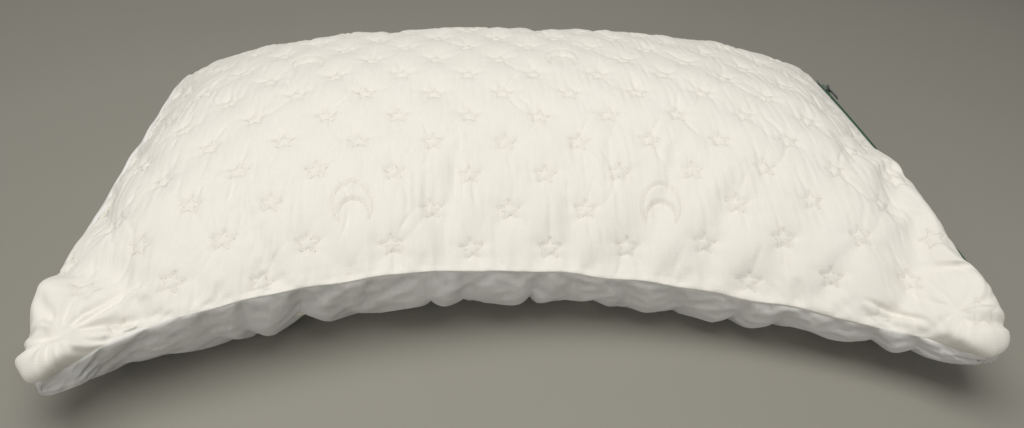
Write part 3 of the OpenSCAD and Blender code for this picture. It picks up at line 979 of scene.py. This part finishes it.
deep_green = (0.012, 0.11, 0.045)
off_white = (0.82, 0.81, 0.77)
finishes = {
    "green_weave": woven("green_weave", deep_green, 1.1 * MM, 0.25),
    "green_nylon": nylon("green_nylon", (0.01, 0.09, 0.038)),
    "white_weave": woven("white_weave", off_white, 1.0 * MM),
    "white_nylon": nylon("white_nylon", off_white),
    "liner_weave": woven("liner_weave", (0.8, 0.79, 0.74), 0.9 * MM),
    "label_satin": woven("label_satin", (0.88, 0.88, 0.86), 0.5 * MM, 0.4),
    "painted_metal": cast_metal("painted_metal", (0.2, 0.22, 0.21), 0.35, 0.3),
    "strip_metal": cast_metal("strip_metal", (0.62, 0.62, 0.6), 1.0, 0.25),
    "thread": woven("thread", (0.88, 0.86, 0.8), 0.4 * MM),
}
print("materials:", len(bpy.data.materials))

# %% Dress the hidden layers and the CAD pieces
for layer in (liner_top, liner_bottom, backing):
    dress(layer, finishes["liner_weave"])
dress(wadding, felted())
dress(foam, foam_crumb())
for node_name, node in nodes.items():
    if "tape" in node_name:
        dress(node, finishes["green_weave" if node_name.startswith("cover") else "white_weave"])
    elif "coil" in node_name:
        dress(node, finishes["green_nylon" if node_name.startswith("cover") else "white_nylon"])
    elif "stop" in node_name:
        dress(node, finishes["strip_metal"])
    elif "slider" in node_name or "pull" in node_name:
        dress(node, finishes["painted_metal"])
    elif node_name == "care_label":
        dress(node, finishes["label_satin"])


def floor_paint():
    paint = Paint("floor_grey", Roughness=0.6)
    spot = paint.place()[0]
    patches = paint.noise(spot, 3, 4)
    grey = paint.mix(patches, (0.265, 0.255, 0.222), (0.29, 0.28, 0.245))
    return paint.finish(Base_Color=grey, Roughness=0.5 + patches * 0.15)


dress(floor, floor_paint())

# %% [markdown]
# ## Stitches from Geometry Nodes
# On the real pillow a row of needles sews every star and moon through all the layers at once. Here each
# outline is drawn on the flat cloth and carried onto the finished surface, and a node tree sets a short
# stitch at every pitch along it. A particle system could scatter stitches, but only a tree keeps them even.

# %% Nodes as calls


class Tree:
    """A Geometry Nodes tree in the making, with named inputs."""

    def __init__(self, name, **inputs):
        self.tree = bpy.data.node_groups.new(name, "GeometryNodeTree")
        self.tree.interface.new_socket("Geometry", in_out="INPUT", socket_type="NodeSocketGeometry")
        self.identifiers = {}
        for title, kind in inputs.items():
            socket = self.tree.interface.new_socket(title, in_out="INPUT", socket_type="NodeSocket" + kind)
            self.identifiers[title] = socket.identifier
        self.tree.interface.new_socket("Geometry", in_out="OUTPUT", socket_type="NodeSocketGeometry")
        self.given = self.tree.nodes.new("NodeGroupInput").outputs

    def add(self, kind, settings=None, **sockets):
        """Adds a node and gives back its first output."""
        node = self.tree.nodes.new(kind)
        for setting, value in (settings or {}).items():
            setattr(node, setting, value)
        for title, value in sockets.items():
            place = title[1:]
            socket = node.inputs[int(place) if place.isdigit() else title.replace("_", " ")]
            if isinstance(value, bpy.types.NodeSocket):
                self.tree.links.new(value, socket)
            else:
                socket.default_value = value
        return node.outputs[0]

    def stand_along(self):
        """Points at even steps along the given lines, and the turn that faces a piece along them."""
        given = self.given
        line = self.add("GeometryNodeMeshToCurve", Mesh=given["Geometry"])
        spots = self.add("GeometryNodeResampleCurve", {"mode": "LENGTH"}, Curve=line, Length=given["Pitch"])
        tangent = self.add("GeometryNodeInputTangent")
        return spots, self.add("FunctionNodeAlignRotationToVector", {"axis": "Z"}, Vector=tangent)

    def finish(self, geometry):
        whole = self.add("GeometryNodeRealizeInstances", Geometry=geometry)
        painted = self.add("GeometryNodeSetMaterial", Geometry=whole, Material=self.given["Material"])
        self.tree.links.new(painted, self.tree.nodes.new("NodeGroupOutput").inputs[0])
        return self

    def run(self, name, points, edges, **values):
        """Runs the tree on lines and gives a plain mesh object."""
        lines = bpy.data.meshes.new(name + "_lines")
        lines.from_pydata(np.asarray(points).tolist(), np.asarray(edges).tolist(), [])
        guide = bpy.data.objects.new(name + "_lines", lines)
        bpy.context.scene.collection.objects.link(guide)
        modifier = guide.modifiers.new("nodes", "NODES")
        modifier.node_group = self.tree
        for title, value in values.items():
            modifier[self.identifiers[title]] = value
        bpy.context.view_layer.update()
        mesh = bpy.data.meshes.new_from_object(guide.evaluated_get(bpy.context.evaluated_depsgraph_get()))
        mesh.name = name
        mesh.shade_smooth()
        bpy.data.objects.remove(guide)
        obj = bpy.data.objects.new(name, mesh)
        bpy.context.scene.collection.objects.link(obj)
        print(name + ":", len(mesh.polygons), "faces")
        return obj


# %% The tree of a stitched line
stitching = Tree("stitched_line", Pitch="Float", Size="Vector", Material="Material")
spots, heading = stitching.stand_along()
bead = stitching.add("GeometryNodeMeshUVSphere", Segments=6, Rings=3, Radius=0.5)
bead = stitching.add("GeometryNodeTransform", Geometry=bead, Scale=stitching.given["Size"])
stitching.finish(stitching.add("GeometryNodeInstanceOnPoints", Points=spots, Instance=bead, Rotation=heading))

# %% Outlines on the flat cloth


def star_outline():
    corners = [(star_r if k % 2 == 0 else star_notch, math.pi * k / 5) for k in range(11)]
    points = np.array([(r * math.sin(a), r * math.cos(a)) for r, a in corners])
    share = np.arange(0, 10, 0.2)
    return np.stack([np.interp(share, np.arange(11), points[:, k]) for k in (0, 1)], -1)


def moon_outline():
    horn_y = (moon_bite_r**2 - moon_r**2 - moon_bite_shift**2) / (2 * moon_bite_shift)
    horn_x = math.sqrt(moon_r**2 - horn_y**2)
    outside = np.linspace(-1, 1, 48) * math.atan2(horn_x, horn_y)
    inside = np.linspace(1, -1, 30)[1:-1] * math.atan2(horn_x, horn_y + moon_bite_shift)
    x = np.concatenate([moon_r * np.sin(outside), moon_bite_r * np.sin(inside)])
    y = np.concatenate([moon_r * np.cos(outside), moon_bite_r * np.cos(inside) - moon_bite_shift])
    return np.stack([x, y * moon_tall], -1)


def between_points(grid, i, j):
    """Values of a grid between its points."""
    i, j = [np.clip(place, 0, count - 1.001) for place, count in ((i, grid.shape[0]), (j, grid.shape[1]))]
    i0, j0 = i.astype(int), j.astype(int)
    p, q = i - i0, j - j0
    if grid.ndim == 3:
        p, q = p[:, None], q[:, None]
    near = grid[i0, j0] * (1 - p) + grid[i0 + 1, j0] * p
    return near * (1 - q) + (grid[i0, j0 + 1] * (1 - p) + grid[i0 + 1, j0 + 1] * p) * q


def find_on_cloth(s, t, i, j):
    """Walks from a first guess to the grid place of each point of the flat cloth, by Newton's method."""
    for _ in range(8):
        miss_s, miss_t = s - between_points(cloth_s, i, j), t - between_points(cloth_t, i, j)
        s_i, t_i = [between_points(g, i + 0.5, j) - between_points(g, i - 0.5, j) for g in (cloth_s, cloth_t)]
        s_j, t_j = [between_points(g, i, j + 0.5) - between_points(g, i, j - 0.5) for g in (cloth_s, cloth_t)]
        size = s_i * t_j - s_j * t_i
        i = np.clip(i + (miss_s * t_j - miss_t * s_j) / size, 0, cloth_s.shape[0] - 1.001)
        j = np.clip(j + (miss_t * s_i - miss_s * t_i) / size, 0, cloth_s.shape[1] - 1.001)
    good = (np.abs(miss_s) < 0.3 * MM) & (np.abs(miss_t) < 0.3 * MM)
    return i, j, good & (between_points(edge_distance, i, j) > 9 * MM)


# %% Quilting thread
raised = top_outer + 0.12 * MM * surface_normals(top_outer)
thread_points, thread_edges = [], []
last_column = math.ceil(cloth_s.max() / motif_gap)
for row in rows:
    for column in range(-last_column, last_column + 1):
        s0, t0 = row_offset(row) + column * motif_gap, row_start + row * row_gap
        outline = moon_outline() if is_moon(row, column) else star_outline()
        tilt = motif_tilt(row, column)
        s = s0 + outline[:, 0] * math.cos(tilt) + outline[:, 1] * math.sin(tilt)
        t = t0 - outline[:, 0] * math.sin(tilt) + outline[:, 1] * math.cos(tilt)
        away = np.hypot(cloth_s[::8, ::8] - s0, cloth_t[::8, ::8] - t0)
        if away.min() > 25 * MM:
            continue
        i, j = [8.0 * k for k in np.unravel_index(away.argmin(), away.shape)]
        i, j, good = find_on_cloth(s, t, np.full(len(s), i), np.full(len(s), j))
        first = sum(map(len, thread_points))
        thread_points.append(between_points(raised, i, j))
        steps = [(k, (k + 1) % len(s)) for k in range(len(s))]
        kept_steps = [(k, following) for k, following in steps if good[k] and good[following]]
        thread_edges += [(first + k, first + following) for k, following in kept_steps]
quilting_thread = stitching.run(
    "quilting_thread", np.concatenate(thread_points), thread_edges,
    Pitch=2.6 * MM, Size=(0.32 * MM, 0.32 * MM, 2.3 * MM), Material=finishes["thread"])

# %% [markdown]
# The zip is held by a row of stitches on each side, through the folded edge of the panel and the tape below.

# %% Thread beside the zip
hem_points, hem_edges = [], []
under_raised = under_outer - 0.12 * MM * surface_normals(under_outer)
for surface, v in ((raised, top_v), (under_raised, under_v)):
    line = surface[-3][np.abs(v[-3]) < zip_v]
    first = sum(map(len, hem_points))
    hem_points.append(line)
    hem_edges += [(first + k, first + k + 1) for k in range(len(line) - 1)]
zip_thread = stitching.run(
    "zip_thread", np.concatenate(hem_points), hem_edges,
    Pitch=3.2 * MM, Size=(0.5 * MM, 0.5 * MM, 2.8 * MM), Material=finishes["thread"])

# %% [markdown]
# ## The turns of the zips
# Each side of a nylon zip is a coil sewn to its tape, and the two coils mesh. One turn is a flat ring of
# thread. The second tree sets a ring at every pitch along the seam's arc, which has the same centre and
# radius as in the CAD model, so the sliders run along it.

# %% The tree of a coil
turning = Tree(
    "coil_turns", Pitch="Float", Thread="Float", Size="Vector", Centre="Vector", Material="Material")
spots, heading = turning.stand_along()
ring = turning.add("GeometryNodeCurvePrimitiveCircle", Resolution=8, Radius=0.5)
ring = turning.add("GeometryNodeTransform", Geometry=ring, Scale=turning.given["Size"])
section = turning.add("GeometryNodeCurvePrimitiveCircle", Resolution=4, Radius=turning.given["Thread"])
ring = turning.add("GeometryNodeCurveToMesh", Curve=ring, Profile_Curve=section)
outwards = turning.add("ShaderNodeVectorMath", {"operation": "SUBTRACT"},
                       _0=turning.add("GeometryNodeInputPosition"), _1=turning.given["Centre"])
heading = turning.add("FunctionNodeAlignRotationToVector", {"axis": "X", "pivot_axis": "Z"},
                      Rotation=heading, Vector=outwards)
turning.finish(turning.add("GeometryNodeInstanceOnPoints", Points=spots, Instance=ring, Rotation=heading))

# %% Coils of both zips
end_sag = math.hypot(end_pull, seam_end - seam_corner)
end_radius = (pillow_d**2 / 4 + end_sag**2) / (2 * end_sag)
outward = np.array([seam_end - seam_corner, 0, end_pull]) / end_sag
tape_t, stop_room = 0.7 * MM, 6 * MM
zips = {"cover": (2.2 * MM, cover_zip_len, 5.8 * MM, 2.4 * MM, 1.6 * MM, "green_nylon", "green_coil"),
        "liner": (15.7 * MM, liner_zip_len, 4.0 * MM, 1.6 * MM, 1.2 * MM, "white_nylon", "liner_coil")}
coils = []
for zip_name, (set_in, zip_length, coil_w, coil_h, pitch, finish_name, slot_name) in zips.items():
    middle = np.array([pillow_w / 2 - end_pull - set_in, y_shift - sweep, seam_end])
    centre = middle + to_centre * end_radius + outward * (tape_t + coil_h / 2)
    half_angle = (zip_length / 2 - stop_room) / end_radius
    for side_name, side in (("upper", 1), ("lower", -1)):
        angles = np.linspace(-half_angle, half_angle, 120)
        radius = end_radius + side * coil_w / 4
        bearings = np.outer(np.cos(angles), -to_centre) + np.outer(np.sin(angles), [0, 1, 0])
        line = centre + radius * bearings
        thread = 0.15 * coil_h
        coil = turning.run(
            f"{zip_name}_{side_name}_turns", line, [(k, k + 1) for k in range(len(line) - 1)],
            Pitch=pitch, Thread=thread, Size=(coil_w / 2 - 2 * thread, coil_h - 2 * thread, 1.0),
            Centre=tuple(centre), Material=finishes[finish_name])
        coils.append((coil, f"{zip_name}_zip_{side_name}_coil", slot_name))
        low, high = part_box(f"{zip_name}_zip_{side_name}_coil")
        places = np.array([point.co for point in coil.data.vertices])
        print("coil and CAD boxes in mm:", (places.min(0) / MM).round(1), (places.max(0) / MM).round(1),
              [round(c / MM, 1) for corner in (low, high) for c in corner])

# %% [markdown]
# ## The care label
# A small label of satin tape is caught in the back seam. A hanging label curls.

# %% Care label
low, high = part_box("care_label")
label_w, label_l, label_t = 26 * MM, 34 * MM, 0.5 * MM
label_u = ((low.x + high.x) / 2) / (pillow_w / 2)
ends = [np.array([*plan(np.float64(label_u + step), np.float64(1.0), 0)]) for step in (-0.01, 0.01)]
along = (ends[1] - ends[0]) / np.linalg.norm(ends[1] - ends[0])
outside = np.array([-along[1], along[0]])
across_label, down_label = np.meshgrid(np.linspace(-0.5, 0.5, 15), np.linspace(0, 1, 21), indexing="ij")
curl = 6 * MM * down_label**2 + 1.6 * MM * np.sin(3 * across_label + 2.4 * down_label) * down_label
spot = np.array([(low.x + high.x) / 2, (low.y + high.y) / 2])
flat = spot + across_label[..., None] * label_w * along + (curl - 0.5 * MM)[..., None] * outside
drop = high.z - down_label * (label_l - 0.6 * MM)
label_back = np.stack([flat[..., 0], flat[..., 1], drop], -1)
label_face = label_back + label_t * np.array([*outside, 0.12])
care_label = shell("care_label_cloth", label_face, label_back, False)
dress(care_label, finishes["label_satin"])
print("care label:", len(care_label.data.polygons), "faces")

# %% [markdown]
# ## Say what rides on what
# The soft pieces all belong to the pillow's own body. Each replaces the plain CAD solid that stands for it.

# %% Ride and replace
soft_pieces = [
    (quilted_top, "top_panel_face", "quilted_knit", 0.7),
    (wadding, "top_panel_wadding", "wadding_cloth", 0.7),
    (backing, "top_panel_backing", "wadding_cloth", 0.7),
    (plush_bottom, "bottom_panel", "plush", 0.6),
    (liner_top, "liner_top_panel", "liner_cloth", 0.7),
    (liner_bottom, "liner_bottom_panel", "liner_cloth", 0.6),
    (foam, "foam_fill", "shredded_foam", 0.7)]
for piece, node_name, slot_name, fill in soft_pieces:
    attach(piece, "pillow")
    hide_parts(node_name)

for piece, node_name, slot_name in coils:
    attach(piece, "pillow")
    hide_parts(node_name)
for piece in (quilting_thread, zip_thread):
    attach(piece, "pillow")
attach(care_label, "pillow")
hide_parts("care_label")
